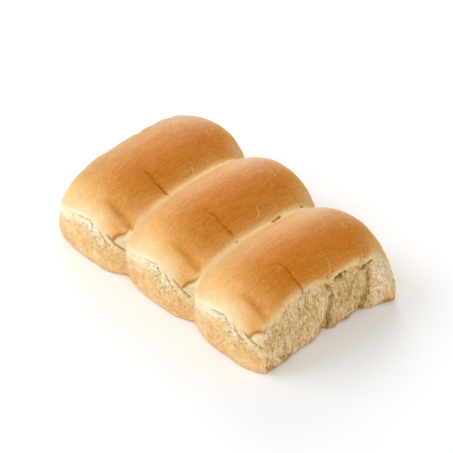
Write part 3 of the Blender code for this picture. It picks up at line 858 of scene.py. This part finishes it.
rough_band = BAND_CRUMB * band
dull_hang = HANG_MATTE * skin_hang
dull_flank = FLANK_MATTE * ease(across, *DULL_ACROSS) * ease(along, *DULL_ALONG)
dull_edge = EDGE_MATTE * flap_line * hill(edge_gap, EDGE_MARK_HALF)
matte_parts = (torn, rough_band, crack, cracks, pits, seam_cuts, wrinkles, dull_hang, dull_flank, dull_edge)
bake = loaf.data.color_attributes.new("bake", "FLOAT_COLOR", "POINT")
bake.data.foreach_set("color", np.column_stack([np.clip(colour, 0.0, 1.0), np.ones(len(points))]).ravel())
store_number("crumb", np.maximum.reduce([torn, rough_band, HANG_CRUMB * skin_hang]))
store_number("matte", np.maximum.reduce(matte_parts))
store_number("pan_side", below * (1 - BAND_COVERS_PAN_SIDE * band) * (1 - torn))


def grey_steps(tree, source, steps):
    """Greys from a number, by steps of (place, grey)."""
    ramp = tree.nodes.new("ShaderNodeValToRGB")
    for element, (place, grey) in zip(ramp.color_ramp.elements, steps):
        element.position = place
        element.color = (grey, grey, grey, 1.0)
    tree.links.new(source, ramp.inputs["Fac"])
    return ramp.outputs["Color"]


def reckon(tree, kind, *values):
    """A sum, product or other reckoning of values, each a socket or a number."""
    node = tree.nodes.new("ShaderNodeMath")
    node.operation = kind
    for socket, value in zip(node.inputs, values):
        if isinstance(value, float):
            socket.default_value = value
        else:
            tree.links.new(value, socket)
    return node.outputs["Value"]


def patches(tree, size, detail, stretch=(1.0, 1.0, 1.0), swirl=0.0):
    """Noise over the bread, in lumps about size metres wide."""
    where = tree.nodes.new("ShaderNodeTexCoord")
    turned = tree.nodes.new("ShaderNodeMapping")
    turned.inputs["Scale"].default_value = stretch
    tree.links.new(where.outputs["Object"], turned.inputs["Vector"])
    lumps = tree.nodes.new("ShaderNodeTexNoise")
    lumps.inputs["Scale"].default_value = 1.0 / size
    lumps.inputs["Detail"].default_value = detail
    lumps.inputs["Distortion"].default_value = swirl
    tree.links.new(turned.outputs["Vector"], lumps.inputs["Vector"])
    return lumps.outputs["Fac"]


def stored(tree, name, output):
    """One of the loaf's own attributes."""
    attribute = tree.nodes.new("ShaderNodeAttribute")
    attribute.attribute_name = name
    return attribute.outputs[output]


def blend(tree, kind, share, first, second):
    """A mix of two colours. The share and the colours are each a socket or a value."""
    mix = tree.nodes.new("ShaderNodeMix")
    mix.data_type = "RGBA"
    mix.blend_type = kind
    for name, value in (("Factor", share), ("A", first), ("B", second)):
        socket = [s for s in mix.inputs if s.name == name and s.enabled][0]
        if isinstance(value, (float, tuple)):
            socket.default_value = value
        else:
            tree.links.new(value, socket)
    return mix.outputs["Result"]


# The bread's material. A pattern's row: the width of its lumps, its detail, its stretch and its swirl
SPECKLE = (0.0016, 2.0)
SPECKLE_STEPS = ((0.70, 1.0), (0.76, 0.80))
PAN_PATCH = (0.0100, 2.5)
PAN_PATCH_STEPS = ((0.43, 0.0), (0.56, 1.0))
PAN_PATCH_ORANGE = (0.74, 0.38, 0.12, 1.0)
PAN_PATCH_SHARE = 0.85
PAN_CURL = (0.0130, 1.0, (1.0, 1.0, 1.0), 0.8)
PAN_CURL_RINGS = 46.0
PAN_CURL_CREAM = (0.93, 0.78, 0.48, 1.0)
PAN_CURL_SHARE = 0.36
FINE_GRAIN = (0.0011, 4.0)
CRUST_STREAK = (0.0016, 3.0, (1.0, 0.12, 1.0))
CRUMB_FIBRE = (0.0010, 3.0, (1.0, 1.0, 0.2))
# How strongly the fine grain and the streaks or fibres deepen the colour, and what centres their sum
CRUST_DEEPEN = (1.1, 0.7, -0.9)
CRUMB_DEEPEN = (1.0, 1.8, -1.4)
CRUST_DEEPEN_SHARE = 0.65
LEAST_DEEPEN = 0.72
ROUGHNESS, MATTE_ROUGHER = 0.46, 0.40
SHINE, MATTE_DULLER = 0.21, -0.16
BUMP_STRENGTH = 0.35
BUMP_HEIGHT = 0.00025


def bread_material():
    """The stored colours with fine mottling and specks, glossier on the crust than on the crumb."""
    material = bpy.data.materials.new("bread")
    material.use_nodes = True
    tree = material.node_tree
    shader = tree.nodes["Principled BSDF"]
    crumb_share = stored(tree, "crumb", "Fac")
    matte_share = stored(tree, "matte", "Fac")
    pan_share = stored(tree, "pan_side", "Fac")
    speckle = grey_steps(tree, patches(tree, *SPECKLE), SPECKLE_STEPS)
    paint = blend(tree, "MULTIPLY", 1.0, stored(tree, "bake", "Color"), speckle)

    orange = grey_steps(tree, patches(tree, *PAN_PATCH), PAN_PATCH_STEPS)
    orange_share = reckon(tree, "MULTIPLY", reckon(tree, "MULTIPLY", orange, pan_share), PAN_PATCH_SHARE)
    paint = blend(tree, "MIX", orange_share, paint, PAN_PATCH_ORANGE)
    curl = reckon(tree, "MULTIPLY", patches(tree, *PAN_CURL), PAN_CURL_RINGS)
    rings = reckon(tree, "MULTIPLY_ADD", reckon(tree, "SINE", curl), 0.5, 0.5)
    curl_share = reckon(tree, "MULTIPLY", reckon(tree, "MULTIPLY", rings, pan_share), PAN_CURL_SHARE)
    paint = blend(tree, "MIX", curl_share, paint, PAN_CURL_CREAM)

    fine = patches(tree, *FINE_GRAIN)
    deepens = []
    for pattern, (by_fine, by_pattern, centre) in ((CRUST_STREAK, CRUST_DEEPEN), (CRUMB_FIBRE, CRUMB_DEEPEN)):
        lines = reckon(tree, "MULTIPLY_ADD", patches(tree, *pattern), by_pattern, centre)
        deepens.append(reckon(tree, "MULTIPLY_ADD", fine, by_fine, lines))
    crust_deepen = reckon(tree, "MULTIPLY", deepens[0], CRUST_DEEPEN_SHARE)
    crumb_deepen = reckon(tree, "MULTIPLY", deepens[1], crumb_share)
    deepen = reckon(tree, "ADD", reckon(tree, "ADD", crust_deepen, crumb_deepen), 1.0)
    vary = tree.nodes.new("ShaderNodeGamma")
    tree.links.new(paint, vary.inputs["Color"])
    tree.links.new(reckon(tree, "MAXIMUM", deepen, LEAST_DEEPEN), vary.inputs["Gamma"])
    tree.links.new(vary.outputs["Color"], shader.inputs["Base Color"])

    roughness = reckon(tree, "MULTIPLY_ADD", matte_share, MATTE_ROUGHER, ROUGHNESS)
    shine = reckon(tree, "MULTIPLY_ADD", matte_share, MATTE_DULLER, SHINE)
    tree.links.new(roughness, shader.inputs["Roughness"])
    tree.links.new(shine, shader.inputs["Specular IOR Level"])
    bump = tree.nodes.new("ShaderNodeBump")
    bump.inputs["Strength"].default_value = BUMP_STRENGTH
    bump.inputs["Distance"].default_value = BUMP_HEIGHT
    tree.links.new(fine, bump.inputs["Height"])
    tree.links.new(bump.outputs["Normal"], shader.inputs["Normal"])
    return material


loaf.data.materials.clear()
loaf.data.materials.append(bread_material())
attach(loaf, "root")
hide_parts("lard_bread")
